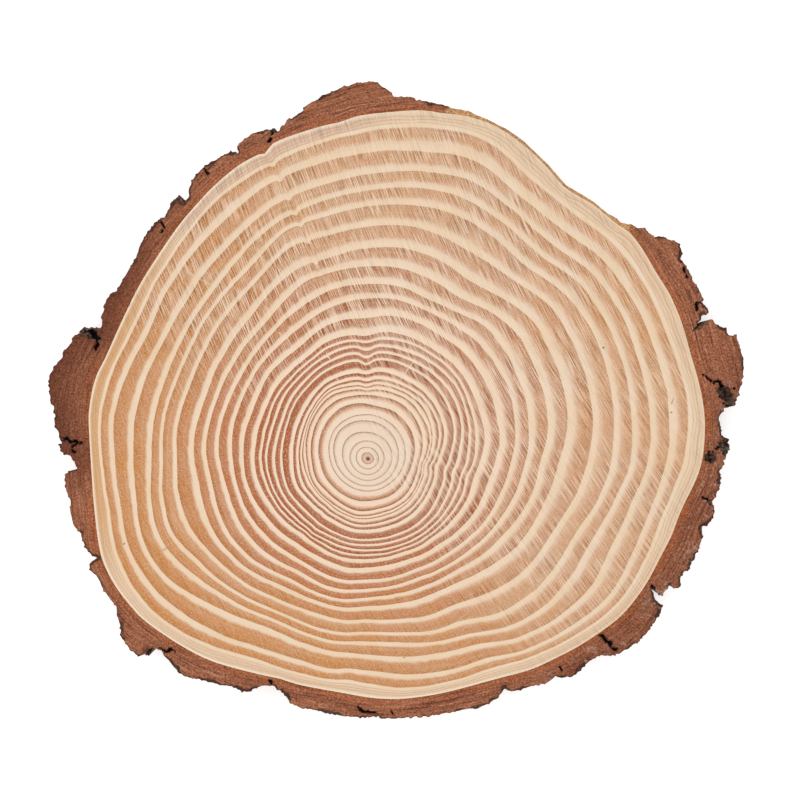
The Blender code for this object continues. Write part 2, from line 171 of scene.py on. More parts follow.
EVEN_ANGLES = 450
FINE_ANGLES = (103.1, 111.5, 0.2)  # from, to and step: closer together where the narrow kink runs
RING_ROWS = (0.03, 0.5, 0.78, 0.97)  # where the rows of the mesh lie in a ring, as a share of its age
UNDERSIDE_ROWS = (0.03, 0.97)
LATE_START = 0.5  # the age within a ring at which its latewood starts
RING_RELIEF = 0.07  # the soft early wood is worn this far below the latewood
WAVER = 0.34  # how far the rings wander
WAVER_SIZE = 11.0
FINE_WAVER = 0.14
FINE_WAVER_SIZE = 3.4
LEAST_RING = 0.2  # no ring is narrower than this
EDGE_DROP = 0.02  # the rim of the wood's two faces lies this much lower
SEAM_GAP = 0.01  # points of the wood closer than this are merged
WOOD_CREASE = 40.0  # degrees; folds flatter than this are shaded smooth
SAPWOOD_LINES = ((0.3, 0.035), (0.52, 0.03), (0.7, 0.04))  # place and half width, as shares of the last ring

BARK_SPACING = 0.8  # between the points on the sawn bark
POINT_SHIFT = 0.2  # how far those points stray from even rows
BARK_START = 95.0  # no bark lies closer to the middle of the slice than this
CAD_GAP = 0.001  # points of the CAD's mesh closer than this are merged
BARK_CREASE = 50.0
SAWN_SLOT = 0  # the bark's materials
SIDE_SLOT = 1
SIDE_CUTS = 3  # cuts in each edge of the CAD's triangles on the bark's side
TUCK = 0.5  # the bark reaches this far in under the edge of the wood
EDGE_GAP = 0.42  # no point on the sawn bark is closer to its edges than this
SIDE_RELIEF = 0.9
SIDE_RELIEF_SIZE = 1.7
PLATE_RELIEF = 0.8
PLATE_RELIEF_SIZE = 5.0
LAYER_RELIEF = 0.16
TEAR_DEPTH = 0.9
TEAR_SIZE = 1.3
TEAR_OUT = 0.35
CHIP_DEPTH = 1.2
CHIP_SIZE = 2.6
SHAKE = 1.5  # how far the cracks stray from a straight line
SHAKE_SIZE = 2.4
CROSSING_REACH = 14  # how many points on along the edge it is tested for crossing itself

# Cracks and pockets in the sawn bark: start x and y, end x and y, half width, depth
CRACKS = (
    (-96.4, 72.9, -96.6, 69.8, 0.8, 1.8),
    (-79.2, 94.9, -77.2, 93.3, 0.7, 1.5),
    (-52.1, 107.0, -51.2, 110.2, 0.9, 1.8),
    (-127.4, 29.4, -122.8, 25.6, 1.9, 2.0),
    (-123.0, 25.0, -124.0, 20.8, 0.8, 2.0),
    (-137.4, -16.4, -130.0, -17.6, 1.2, 2.4),
    (-132.6, -18.4, -132.6, -21.6, 0.8, 2.0),
    (126.8, 10.4, 131.8, 7.2, 0.9, 2.0),
    (131.8, 7.2, 135.0, 6.4, 1.1, 2.2),
    (125.8, 40.4, 123.2, 37.2, 1.0, 2.0),
    (127.2, -40.0, 130.0, -42.4, 1.0, 2.2),
    (105.2, -77.4, 106.0, -78.6, 0.9, 1.6),
    (84.8, -97.4, 88.2, -100.2, 1.1, 2.2),
    (88.2, -100.2, 90.8, -103.2, 0.9, 2.0),
    (67.4, -109.6, 68.9, -111.9, 0.7, 1.4),
    (-15.4, -126.6, -11.8, -128.6, 0.9, 1.8),
    (-11.8, -128.6, -8.2, -129.2, 0.9, 1.8),
    (-2.0, -128.6, -1.2, -129.8, 0.8, 1.6),
    (-103.4, -101.4, -100.6, -103.6, 1.1, 1.8),
    (-96.4, -102.7, -91.2, -103.7, 0.9, 1.6),
    (-52.6, -115.8, -51.0, -116.6, 0.8, 1.4),
    (117.4, 58.4, 120.2, 50.0, 0.6, 1.2),
)

# The parts of the CAD's shelves that are really broken down: start x and y, end x and y, half width
POCKETS = (
    (131.4, 7.6, 139.8, -1.8, 1.9),
    (134.8, -18.4, 137.4, -21.8, 1.9),
    (128.6, -23.0, 131.2, -24.6, 1.3),
    (-125.6, 26.8, -129.0, 29.4, 2.1),
    (-51.4, 111.0, -49.8, 112.6, 1.1),
    (-138.6, -17.6, -139.4, -22.0, 1.2),
    (-102.8, -101.8, -101.6, -105.6, 1.4),
)

# The studio
LIGHT_LEVEL = 1.25  # how bright a white surface facing up is, so that the floor comes out white
ROOM_LIGHT = 1.12
LAMP_LIGHT = 9.0
LAMP_WIDTH = 2200.0
LAMP_PLACE = Vector((-1200.0, 1200.0, 2000.0))
FLOOR_WIDTH = 6000.0
FLOOR_WHITE = (0.9, 0.9, 0.9, 1.0)
FLOOR_GLOW = 0.35
WHITE = (1.0, 1.0, 1.0, 1.0)
PICTURE_WIDTH = 329.8
PICTURE_MIDDLE = Vector((1.64, 0.0))

SHINE = 0.08  # how much every surface shines, where 0.5 is usual
FLAT = (1.0, 1.0, 0.0)  # lays a place down on the sawn face


def paint(*parts):
    """The surface colour that the studio light turns into this red, green and blue, from 0 to 255."""
    linear = []
    for part in parts:
        share = part / 255
        linear.append(((share + 0.055) / 1.055) ** 2.4 if share > 0.04045 else share / 12.92)
    return tuple(min(0.98, part / LIGHT_LEVEL) for part in linear) + (1.0,)


CORE_CREAM = paint(244, 217, 192)
CREAM = paint(250, 222, 194)
PALE_CREAM = paint(246, 228, 208)
OUTER_CREAM = paint(241, 212, 178)
DUSKY_CREAM = paint(226, 190, 166)
GOLDEN = paint(206, 136, 72)
ORANGE = paint(190, 112, 60)
PINK = paint(206, 147, 110)
BROWN = paint(168, 88, 46)
LINE_BROWN = paint(158, 112, 82)
LINE_DARK = paint(112, 78, 56)
CAMBIUM = paint(249, 234, 212)
SAPWOOD = paint(237, 212, 182)
LEFT_SAPWOOD = paint(219, 170, 118)
TOP_SAPWOOD = paint(220, 192, 172)
SAP_LINES = paint(190, 142, 108)
PITH_BROWN = paint(134, 66, 34)
PITH_DARK = paint(84, 44, 28)
BARK_RED = paint(160, 101, 73)
BARK_DARK = paint(104, 57, 41)
BARK_GREY = paint(124, 88, 72)
FLAKE_GREY = paint(168, 138, 122)
BARK_PINK = paint(196, 140, 110)
INNER_BARK = paint(186, 106, 60)
BARE_BARK = paint(206, 158, 108)
# the outer bark's own near-black at the sawn edge, and painted shade in the side's deepest furrows
CHARCOAL_AND_SHADE = paint(56, 41, 36)
# painted shade: the black put in the cracks and in the pockets where plates broke away
SHADE_BLACK = paint(24, 18, 17)
WEATHERED = paint(112, 96, 84)
RIDGE_GREY = paint(134, 112, 98)
MARK_BROWN = paint(122, 84, 62)

# Small dark marks on the sawn wood: x and y, half length and half width, direction in degrees, strength
DARK_MARKS = (
    (85.7, 21.8, 0.5, 0.45, 0.0, 0.9),
    (113.7, -4.9, 0.5, 0.45, 0.0, 0.8),
    (114.1, -0.4, 1.6, 0.3, 75.0, 0.5),
    (-112.1, -59.3, 0.6, 0.4, 30.0, 0.7),
    (-95.2, -61.4, 1.2, 0.7, 20.0, 0.3),
    (3.5, -106.1, 0.45, 0.4, 0.0, 0.7),
    (-110.4, 39.1, 1.0, 0.6, 60.0, 0.6),
    (-63.4, -0.8, 0.5, 0.35, 0.0, 0.5),
    (-7.7, -24.4, 0.9, 0.2, 0.0, 0.4),
)

# Pale strokes across the rings, in the same order
PALE_MARKS = (
    (-46.4, 26.1, 3.6, 0.3, -37.0, 0.8),
    (-28.2, 18.1, 2.9, 0.3, -67.0, 0.8),
    (4.7, 12.4, 6.8, 0.3, 54.0, 0.7),
    (-24.1, 8.7, 2.2, 0.3, -58.0, 0.8),
    (-79.9, 49.4, 9.0, 0.3, -27.0, 0.5),
    (-50.6, 34.8, 8.5, 0.3, -49.0, 0.5),
)

# The saw's scratches are arcs round this far point, which is seen at this angle across them
SAW_CENTRE = Vector((640.0, 330.0))
SAW_ANGLE = 116.0
CROSS_ANGLE = 40.0

# Sides on which the wood looks different, as angles round the pith in degrees
RIGHT_SIDE = 0.0
GOLDEN_SIDE = 20.0  # the latewood is more golden, and the pale line beside the bark is missing
UPPER_RIGHT_SIDE = 40.0
SCRATCHED_SIDE = 50.0
TOP_SIDE = 87.0
UPPER_LEFT_SIDE = 110.0
QUIET_SIDE = 165.0  # the narrow rings have the fewest scratches
LEFT_SIDE = 168.0
LOWER_RIGHT_SIDE = 345.0


def smooth(value, low, high):
    """A soft step from 0 at low to 1 at high."""
    share = min(1.0, max(0.0, (value - low) / (high - low)))
    return share * share * (3 - 2 * share)


# Growth rings


def read_round(readings, angle):
    """A smooth value at an angle from readings at even steps round the full turn."""
    count = len(readings)
    place = (angle % TURN) / TURN * count
    i = int(place)
    t = place - i
    a, b, c, d = (readings[(i + k) % count] for k in (-1, 0, 1, 2))
    return b + 0.5 * t * (c - a + t * (2 * a - 5 * b + 4 * c - d + t * (3 * (b - c) + d - a)))


def wood_edge_points():
    """The points of the CAD's wood edge round the top face, anticlockwise round the pith, in millimetres."""
    found = {}
    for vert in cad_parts["wood_slice"].data.vertices:
        if vert.co.z > (TOP - 0.1) * MM:
            point = vert.co.to_2d() / MM
            found[(round(point.x, 2), round(point.y, 2))] = point
    return sorted(found.values(), key=angle_round_pith)


def angle_round_pith(point):
    away = point - PITH
    return math.degrees(math.atan2(away.y, away.x)) % TURN


def wood_edge_radii(points, angles):
    """The distance from the pith to the wood's edge at each of the angles."""
    turns = [angle_round_pith(point) for point in points]
    turns = [turns[-1] - TURN] + turns + [turns[0] + TURN]
    places = [points[-1]] + points + [points[0]]
    radii = []
    i = 0
    for angle in angles:
        while turns[i + 1] < angle:
            i += 1
        share = (angle - turns[i]) / (turns[i + 1] - turns[i])
        radii.append((places[i].lerp(places[i + 1], share) - PITH).length)
    return radii


def kink(angle, radius):
    """How far the rings dip towards the pith at a place."""
    dip = 0.0
    for near_angle, far_angle, half_width, depth, nearest, furthest in KINKS:
        out = min(1.0, max(0.0, (radius - nearest) / (furthest - nearest)))
        middle = near_angle + (far_angle - near_angle) * out
        off = abs((angle - middle + TURN / 2) % TURN - TURN / 2) / half_width
        risen = smooth(radius, nearest - KINK_FADE, nearest)
        faded = smooth(radius, furthest, furthest + KINK_FADE)
        dip += depth * (risen * (1 - faded)) / (1 + off ** 3)
    return dip


def waver(angle, radius):
    """The small wandering of the rings."""
    turn = math.radians(angle)
    place = Vector((math.cos(turn), math.sin(turn), 0.0)) * radius
    wide = WAVER * noise.noise(place / WAVER_SIZE)
    return (wide + FINE_WAVER * noise.noise(place / FINE_WAVER_SIZE)) * smooth(radius, 3.0, 30.0)


def ring_table(angles, edge_radii):
    """For each of the angles, the radii of the edges of the rings from the pith outwards."""
    inner_rings = list(reversed(WIDE_RINGS + NARROW_RINGS + FIRST_RINGS))
    table = []
    for angle, edge_radius in zip(angles, edge_radii):
        radii = [0.0]
        for readings in inner_rings:
            radius = read_round(readings, angle)
            radius += waver(angle, radius) - kink(angle, radius)
            radii.append(max(radius, radii[-1] + LEAST_RING))
        radii.append(max(edge_radius, radii[-1] + LEAST_RING))
        table.append(radii)
    return table


def radius_at(radii, age):
    """The distance from the pith of a place with this ring age, where the latewood starts half a ring on."""
    ring = min(int(age), len(radii) - 2)
    inner, outer = radii[ring], radii[ring + 1]
    start = outer - (outer - inner) * RING_LOOKS[ring][0]
    within = age - ring
    if within < LATE_START:
        return inner + (start - inner) * within / LATE_START
    return start + (outer - start) * (within - LATE_START) / (1 - LATE_START)


def worn(age):
    """How far the sawn face lies below its highest level at a ring age."""
    within = age % 1.0
    return RING_RELIEF * (1 - smooth(within, LATE_START - 0.1, LATE_START + 0.2))


def wood_rows():
    """The rows of the wood's mesh as ring age and height, from the pith over the top and back below."""
    rings = len(RING_LOOKS)
    ages = [ring + share for ring in range(rings) for share in RING_ROWS]
    below = [ring + share for ring in range(rings) for share in UNDERSIDE_ROWS]
    rows = [(0.0, TOP)] + [(age, TOP - worn(age)) for age in ages]
    rows += [(rings, TOP - EDGE_DROP), (rings, EDGE_DROP)]
    rows += [(age, worn(age)) for age in reversed(below)] + [(0.0, 0.0)]
    return rows


# Working by hand in edit mode


def select_only(piece):
    bpy.ops.object.select_all(action="DESELECT")
    piece.select_set(True)
    bpy.context.view_layer.objects.active = piece


def merge_doubles(piece, gap):
    select_only(piece)
    bpy.ops.object.mode_set(mode="EDIT")
    bpy.ops.mesh.select_all(action="SELECT")
    bpy.ops.mesh.remove_doubles(threshold=gap)
    bpy.ops.object.mode_set(mode="OBJECT")


def choose(piece, kind, wanted):
    """Selects the vertices or faces of a piece that a test wants, and nothing else."""
    mesh = piece.data
    for group in (mesh.vertices, mesh.edges, mesh.polygons):
        group.foreach_set("select", [False] * len(group))
    for element in getattr(mesh, kind):
        element.select = wanted(element)


def finish_piece(piece):
    """Checks the mesh of a finished piece and puts the piece in the place of the CAD's solid."""
    piece.data.validate()
    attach(piece, "root")
    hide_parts("wood_slice")


# The sawn wood


def mesh_angles():
    """The angles of the wood's mesh in degrees: even all round, and closer where a narrow kink needs it."""
    angles = [step * TURN / EVEN_ANGLES for step in range(EVEN_ANGLES)]
    start, end, step = FINE_ANGLES
    angles = [angle for angle in angles if not start - step < angle < end + step]
    return sorted(angles + [start + k * step for k in range(round((end - start) / step) + 1)])


def build_sawn_wood(edge_points):
    """A grid wrapped round the pith, its rows along the rings, then closed at the seam and the two ends."""
    rows = wood_rows()
    angles = mesh_angles()
    table = ring_table(angles, wood_edge_radii(edge_points, angles))
    bpy.ops.object.select_all(action="DESELECT")
    bpy.ops.mesh.primitive_grid_add(x_subdivisions=len(angles), y_subdivisions=len(rows) - 1, size=1.0)
    wood = bpy.context.object
    wood.name = "sawn_wood"
    ages = []
    for vert in wood.data.vertices:
        step = round((vert.co.x + 0.5) * len(angles)) % len(angles)
        age, height = rows[round((0.5 - vert.co.y) * (len(rows) - 1))]
        radius = radius_at(table[step], age)
        turn = math.radians(angles[step])
        place = PITH + Vector((math.cos(turn), math.sin(turn))) * radius
        vert.co = Vector((place.x, place.y, height)) * MM
        ages.append(age)
    ring_age = wood.data.attributes.new("ring_age", "FLOAT", "POINT")
    ring_age.data.foreach_set("value", ages)
    merge_doubles(wood, SEAM_GAP * MM)
    mark_latewood(wood.data)
    wood.data.materials.append(patterned_material("sawn_wood", sawn_wood, 0.25, 0.2))
    select_only(wood)
    bpy.ops.object.shade_smooth_by_angle(angle=math.radians(WOOD_CREASE))
    finish_piece(wood)


def mark_latewood(mesh):
    """Stores how strongly coloured the latewood is on each face, from the ring that the face lies in."""
    ages = mesh.attributes["ring_age"].data
    strengths = []
    for face in mesh.polygons:
        age = sum(ages[i].value for i in face.vertices) / len(face.vertices)
        strengths.append(RING_LOOKS[min(int(age), len(RING_LOOKS) - 1)][1])
    mesh.attributes.new("latewood", "FLOAT", "FACE").data.foreach_set("value", strengths)


# The bark


class Edge:
    """A closed line whose nearest point to a place can be asked for."""

    def __init__(self, points):
        self.points = points
        self.tree = kdtree.KDTree(len(points))
        for i, point in enumerate(points):
            self.tree.insert(point.to_3d(), i)
        self.tree.balance()

    def nearest(self, place):
        found, _, distance = self.tree.find(place.to_3d())
        return found.to_2d(), distance


def copy_cad_bark():
    """A merged copy of the CAD solid without its wood, and a tree of its faces for finding heights."""
    bark = bpy.data.objects.new("bark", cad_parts["wood_slice"].data.copy())
    bpy.context.collection.objects.link(bark)
    merge_doubles(bark, CAD_GAP * MM)
    select_only(bark)
    bpy.ops.mesh.customdata_custom_splitnormals_clear()
    choose(bark, "vertices", lambda vert: not HALF_STEP * MM < vert.co.z < (TOP - HALF_STEP) * MM)
    bpy.ops.object.mode_set(mode="EDIT")
    bpy.ops.mesh.delete(type="VERT")
    bpy.ops.object.mode_set(mode="OBJECT")
    mesh = bmesh.new()
    mesh.from_mesh(bark.data)
    heights = bvhtree.BVHTree.FromBMesh(mesh)
    mesh.free()
    return bark, heights


def is_sawn(face, vertices):
    """True for a face of the CAD's bark that the saw left, above or below."""
    heights = [vertices[i].co.z / MM for i in face.vertices]
    above = face.normal.z > 0.3 and min(heights) > SHELF_LEVEL
    below = face.normal.z < -0.9 and max(heights) < BARK_BASE + 0.1
    return above or below


def refine_side(bark):
    """Drops the sawn faces and cuts the side's triangles finer."""
    vertices = bark.data.vertices
    choose(bark, "polygons", lambda face: is_sawn(face, vertices))
    bpy.ops.object.mode_set(mode="EDIT")
    bpy.ops.mesh.select_mode(type="FACE")
    bpy.ops.mesh.delete(type="FACE")
    bpy.ops.mesh.select_all(action="SELECT")
    bpy.ops.mesh.subdivide(number_cuts=SIDE_CUTS)
    bpy.ops.object.mode_set(mode="OBJECT")


def open_loops(mesh):
    """The two open edges of the side as rows of vertices, upper first."""
    # A dict keeps the order of the edges, so each run starts at the same place
    left = dict.fromkeys(edge for edge in mesh.edges if len(edge.link_faces) == 1)
    loops = []
    while left:
        edge = left.popitem()[0]
        loop = [edge.verts[0], edge.verts[1]]
        while True:
            onward = [e for e in loop[-1].link_edges if e in left]
            if not onward:
                break
            del left[onward[0]]
            loop.append(onward[0].other_vert(loop[-1]))
        loops.append(loop[:-1] if loop[0] == loop[-1] else loop)
    loops = sorted(loops, key=len, reverse=True)[:2]
    return sorted(loops, key=lambda loop: -sum(vert.co.z for vert in loop) / len(loop))


def anticlockwise(loop):
    area = sum(a.co.x * b.co.y - b.co.x * a.co.y for a, b in zip(loop, loop[1:] + loop[:1]))
    return loop if area > 0 else loop[::-1]


def gap_to_line(point, crack):
    """How far a point is from a crack's middle line, as a share of the crack's half width."""
    start, end = Vector(crack[0:2]), Vector(crack[2:4])
    along = end - start
    share = min(1.0, max(0.0, (point - start).dot(along) / along.length_squared))
    return (point - start - along * share).length / crack[4]


def shaken(point):
    """A point moved a little, so that straight strokes come out crooked."""
    place = point.to_3d() / SHAKE_SIZE
    sideways = Vector((noise.noise(place), noise.noise(place + Vector((0.0, 0.0, 31.7)))))
    return point + sideways * SHAKE


def cracked(point):
    """The depth of the cracks at a point, and how strongly painted shade darkens them there, from 0 to 1."""
    depth = dark = 0.0
    point = shaken(point)
    wobble = 1.5 + 1.1 * noise.noise(point.to_3d() / 1.4) + 0.5 * noise.noise(point.to_3d() / 0.6)
    for crack in CRACKS:
        gap = gap_to_line(point, crack) * wobble
        if gap < 1.6:
            depth = max(depth, crack[5] * (1 - smooth(gap, 0.3, 1.3)))
            # painted shade, darkest along the middle of the crack
            dark = max(dark, 1 - smooth(gap, 0.5, 1.1))
    return depth, dark


def broken_share(point):
    """How far the surface at a point falls to the level of the CAD's shelf, from 0 to 1."""
    point = shaken(point)
    wobble = 1 + 0.8 * noise.noise(point.to_3d() / 1.7) + 0.4 * noise.noise(point.to_3d() / 0.7)
    return max(1 - smooth(gap_to_line(point, pocket) * wobble, 0.75, 1.25) for pocket in POCKETS)


def layered(point, from_wood):
    """The height of the bark's thin layers, which run along the wood's edge."""
    place = Vector((from_wood * 1.1, point.x * 0.07, point.y * 0.07))
    return LAYER_RELIEF * (noise.noise(place) + 0.5 * noise.noise(place * 2.7))


def spread_points(bark_edge, wood_edge):
    """Even points over the sawn bark, in rows turned by half a step, clear of its edges."""
    points = []
    across, along = BARK_SPACING, BARK_SPACING * math.sqrt(3) / 2
    columns = math.ceil(cad_box[1].x / MM / across)
    rows = math.ceil(cad_box[1].y / MM / along)
    for j in range(-rows, rows + 1):
        for i in range(-columns, columns + 1):
            point = Vector(((i + 0.5 * (j % 2)) * across, j * along))
            shift_x = noise.noise(Vector((i, j, 0.5)) * 0.37)
            shift_y = noise.noise(Vector((i, j, 9.5)) * 0.37)
            point += Vector((shift_x, shift_y)) * POINT_SHIFT
            if point.length < BARK_START:
                continue
            outer, outer_gap = bark_edge.nearest(point)
            inner, inner_gap = wood_edge.nearest(point)
            if inner.length < point.length < outer.length and min(outer_gap, inner_gap) > EDGE_GAP:
                points.append(point)
    return points


def fill_sawn_bark(mesh, rim, hole, points, faces_up, height):
    """Fills one sawn face of the bark with even triangles between its rim and the hole for the wood."""
    inside = [mesh.verts.new((point.x * MM, point.y * MM, height(point) * MM)) for point in points]
    verts = rim + hole + inside
    loops = [list(range(len(rim))), list(range(len(rim), len(rim) + len(hole)))]
    flat = [vert.co.to_2d() / MM for vert in verts]
    _, _, faces, sources, _, owners = geometry.delaunay_2d_cdt(flat, [], loops, 1, 1e-5)
    for face, owner in zip(faces, owners):
        if list(owner) == [0]:
            ring = [verts[sources[i][0]] for i in face]
            made = mesh.faces.new(ring if faces_up else ring[::-1])
            made.material_index = SAWN_SLOT


def hole_points(mesh, edge_points, height):
    """Points round the hole for the wood, tucked in under the wood's edge."""
    tucked = [point - (point - PITH).normalized() * TUCK for point in edge_points]
    return [mesh.verts.new((point.x * MM, point.y * MM, height * MM)) for point in tucked]


def join_holes(mesh, upper, lower):
    """The wall of the hole, hidden behind the wood's edge."""
    for i in range(len(upper)):
        j = (i + 1) % len(upper)
        wall = mesh.faces.new((upper[j], upper[i], lower[i], lower[j]))
        wall.material_index = SAWN_SLOT


def build_bark(edge_points):
    """The bark: the CAD's side cut finer and weathered, with new sawn faces that hold the cracks."""
    bark, heights = copy_cad_bark()
    refine_side(bark)
    mesh = bmesh.new()
    mesh.from_mesh(bark.data)
    for face in mesh.faces:
        face.material_index = SIDE_SLOT
    upper_rim, lower_rim = (anticlockwise(loop) for loop in open_loops(mesh))
    wood_edge = Edge(round_points(edge_points))
    tear_rim(upper_rim, wood_edge)
    bark_edge = Edge([vert.co.to_2d() / MM for vert in upper_rim])
    weather_side(mesh, set(upper_rim), wood_edge)
    upper_hole = hole_points(mesh, edge_points, BARK_TOP)
    lower_hole = hole_points(mesh, edge_points, BARK_BASE)
    points = spread_points(bark_edge, wood_edge)

    def upper_height(point):
        hit = heights.ray_cast(Vector((point.x * MM, point.y * MM, 1.0)), Vector((0, 0, -1)))[0]
        drop = (BARK_TOP - hit.z / MM) * broken_share(point) if hit else 0.0
        layer = layered(point, wood_edge.nearest(point)[1])
        return BARK_TOP - drop - cracked(point)[0] - LAYER_RELIEF + layer

    def lower_height(point):
        return BARK_BASE + LAYER_RELIEF - layered(point, wood_edge.nearest(point)[1])

    fill_sawn_bark(mesh, upper_rim, upper_hole, points, True, upper_height)
    sparse = [point for i, point in enumerate(points) if i % 3 == 0]
    fill_sawn_bark(mesh, lower_rim, lower_hole, sparse, False, lower_height)
    join_holes(mesh, upper_hole, lower_hole)
    bmesh.ops.delete(mesh, geom=[vert for vert in mesh.verts if not vert.link_faces], context="VERTS")
    mark_bark(mesh, bark_edge, wood_edge)
    bark.data.materials.clear()
    bark.data.materials.append(patterned_material("sawn_bark", sawn_bark, 0.6, 0.5))
    bark.data.materials.append(patterned_material("bark_side", bark_side, 0.6, 0.8))
    mesh.to_mesh(bark.data)
    mesh.free()
    select_only(bark)
    bpy.ops.object.shade_smooth_by_angle(angle=math.radians(BARK_CREASE))
    finish_piece(bark)


def round_points(points):
    """The closed line through the points, with a point at least every half millimetre."""
    line = []
    for start, end in zip(points, points[1:] + points[:1]):
        pieces = max(1, math.ceil((end - start).length / 0.5))
        line.extend(start.lerp(end, k / pieces) for k in range(pieces))
    return line


def tear_rim(rim, wood_edge):
    """Makes the bark's upper edge ragged, within the CAD's box and not so far that it crosses itself."""
    low, high = cad_box
    count = len(rim)
    whole = [vert.co.copy() for vert in rim]
    for i, vert in enumerate(rim):
        along = whole[(i + 1) % count] - whole[i - 1]
        outward = Vector((along.y, -along.x, 0.0)).normalized()
        place = Vector((vert.co.x, vert.co.y, 0.0)) / MM
        tear = 0.5 + noise.noise(place / TEAR_SIZE) + 0.5 * noise.noise(place / TEAR_SIZE * 2.3)
        room = smooth(wood_edge.nearest(vert.co.to_2d() / MM)[1], 1.0, 5.0)
        moved = whole[i] - outward * (TEAR_DEPTH * tear - TEAR_OUT) * room * MM
        chip = max(0.0, noise.noise(place / CHIP_SIZE + Vector((7.0, 0.0, 0.0))))
        vert.co.x = min(high.x, max(low.x, moved.x))
        vert.co.y = min(high.y, max(low.y, moved.y))
        vert.co.z = moved.z - chip * CHIP_DEPTH * MM
    for i in range(count):
        for reach in range(2, CROSSING_REACH):
            if crosses(rim[i], rim[(i + 1) % count], rim[(i + reach) % count], rim[(i + reach + 1) % count]):
                for k in range(i, i + reach + 2):
                    rim[k % count].co = whole[k % count]


def crosses(a, b, c, d):
    """True if the lines from a to b and from c to d cross, seen from above."""
    return geometry.intersect_line_line_2d(*(vert.co.to_2d() / MM for vert in (a, b, c, d))) is not None


def weather_side(mesh, rim, wood_edge):
    """Roughens the bark's side inwards, most where the bark is thick. Its upper edge stays."""
    for vert in mesh.verts:
        if vert in rim:
            continue
        place = vert.co / MM
        below = smooth(BARK_TOP - place.z, 0.0, 2.5) * smooth(place.z, 0.3, 1.2)
        plates = 0.5 + noise.noise(Vector((place.x, place.y, place.z * 0.5)) / PLATE_RELIEF_SIZE)
        flakes = 0.5 + noise.noise(place / SIDE_RELIEF_SIZE)
        fall = (PLATE_RELIEF * max(0.0, plates) + SIDE_RELIEF * max(0.0, flakes)) * below
        room = smooth(wood_edge.nearest(place.to_2d())[1], 1.0, 7.0)
        outward = Vector((place.x, place.y, 0.0)).normalized()
        vert.co -= outward * fall * room * MM


def mark_bark(mesh, bark_edge, wood_edge):
    """Stores the distances to the wood and to the bark's edge, the painted shade in the cracks, and how deep
    the hollows on the bark lie.
    """
    names = ("from_wood", "to_edge", "thickness", "crack", "sunk", "fall")
    layers = {name: mesh.verts.layers.float.new(name) for name in names}
    for vert in mesh.verts:
        point = vert.co.to_2d() / MM
        outer, outer_gap = bark_edge.nearest(point)
        inner_gap = wood_edge.nearest(point)[1]
        vert[layers["from_wood"]] = inner_gap
        vert[layers["to_edge"]] = outer_gap
        vert[layers["thickness"]] = wood_edge.nearest(outer)[1]
        on_top = vert.co.z > CRACK_LEVEL * MM
        # how much painted shade darkens the cracks here
        vert[layers["crack"]] = cracked(point)[1] if on_top else 0.0
        vert[layers["sunk"]] = BARK_TOP - vert.co.z / MM if on_top else 0.0
        # how far in from the bark's edge a point lies, which sets the side's painted shade
        vert[layers["fall"]] = outer.length - point.length


# Making materials


class Value:
    """A number or a colour that nodes work out. Arithmetic on it adds the nodes for that."""

    maths = "ShaderNodeMath"

    def __init__(self, tree, socket):
        self.tree = tree
        self.socket = socket

    def work(self, operation, *values):
        node = add_node(self.tree, self.maths, enumerate(values), operation=operation)
        return type(self)(self.tree, node.outputs[0])

    def __add__(self, other):
        return self.work("ADD", self, other)

    def __sub__(self, other):
        return self.work("SUBTRACT", self, other)

    def __rsub__(self, other):
        return self.work("SUBTRACT", other, self)

    def __mul__(self, other):
        return self.work("MULTIPLY", self, other)

    def __abs__(self):
        return self.work("ABSOLUTE", self)

    def larger(self, other):
        return self.work("MAXIMUM", self, other)

    def smaller(self, other):
        return self.work("MINIMUM", self, other)

    def fraction(self):
        return self.work("FRACT", self)

    def step(self, low, high, low_out=0.0, high_out=1.0):
        """A soft step: low_out up to low, high_out from high on."""
        inputs = {"Value": self, "From Min": low, "From Max": high, "To Min": low_out, "To Max": high_out}
        node = add_node(self.tree, "ShaderNodeMapRange", inputs, interpolation_type="SMOOTHSTEP")
        return Value(self.tree, node.outputs[0])


class Place(Value):
    """A place or a direction that nodes work out."""

    maths = "ShaderNodeVectorMath"

    def measure(self, operation, *values):
        node = add_node(self.tree, self.maths, enumerate((self,) + values), operation=operation)
        return Value(self.tree, node.outputs["Value"])

    def length(self):
        return self.measure("LENGTH")

    def along(self, degrees):
        """How far it lies in the direction of this angle."""
        turn = math.radians(degrees)
        return self.measure("DOT_PRODUCT", (math.cos(turn), math.sin(turn), 0.0))

    def facing(self):
        """Its direction, one metre long."""
        return self.work("NORMALIZE", self)

    def axes(self):
        outputs = add_node(self.tree, "ShaderNodeSeparateXYZ", {"Vector": self}).outputs
        return [Value(self.tree, output) for output in outputs]

    def stretched(self, degrees, scale):
        """Turned about Z and stretched, for a pattern that runs one way."""
        inputs = {"Vector": self, "Rotation": (0.0, 0.0, math.radians(degrees))}
        turned = add_node(self.tree, "ShaderNodeMapping", inputs, vector_type="TEXTURE")
        return Place(self.tree, turned.outputs[0]) * scale

    def noise(self, scale=1.0, detail=2.0, roughness=0.5):
        """Noise from 0 to 1."""
        inputs = {"Vector": self, "Scale": scale, "Detail": detail, "Roughness": roughness}
        return Value(self.tree, add_node(self.tree, "ShaderNodeTexNoise", inputs).outputs["Fac"])

    def stored(self, name):
        """The value that the mesh keeps there under this name."""
        node = add_node(self.tree, "ShaderNodeAttribute", attribute_name=name)
        return Value(self.tree, node.outputs["Fac"])

    def group(self, name, inputs):
        """What a node group puts out there, by name."""
        node = add_node(self.tree, "ShaderNodeGroup", inputs, node_tree=bpy.data.node_groups[name])
        return {output.name: Value(self.tree, output) for output in node.outputs}


def add_node(tree, kind, inputs=(), **settings):
    node = tree.nodes.new(kind)
    for name, value in settings.items():
        setattr(node, name, value)
    for key, value in dict(inputs).items():
        feed(node.inputs[key], value)
    return node


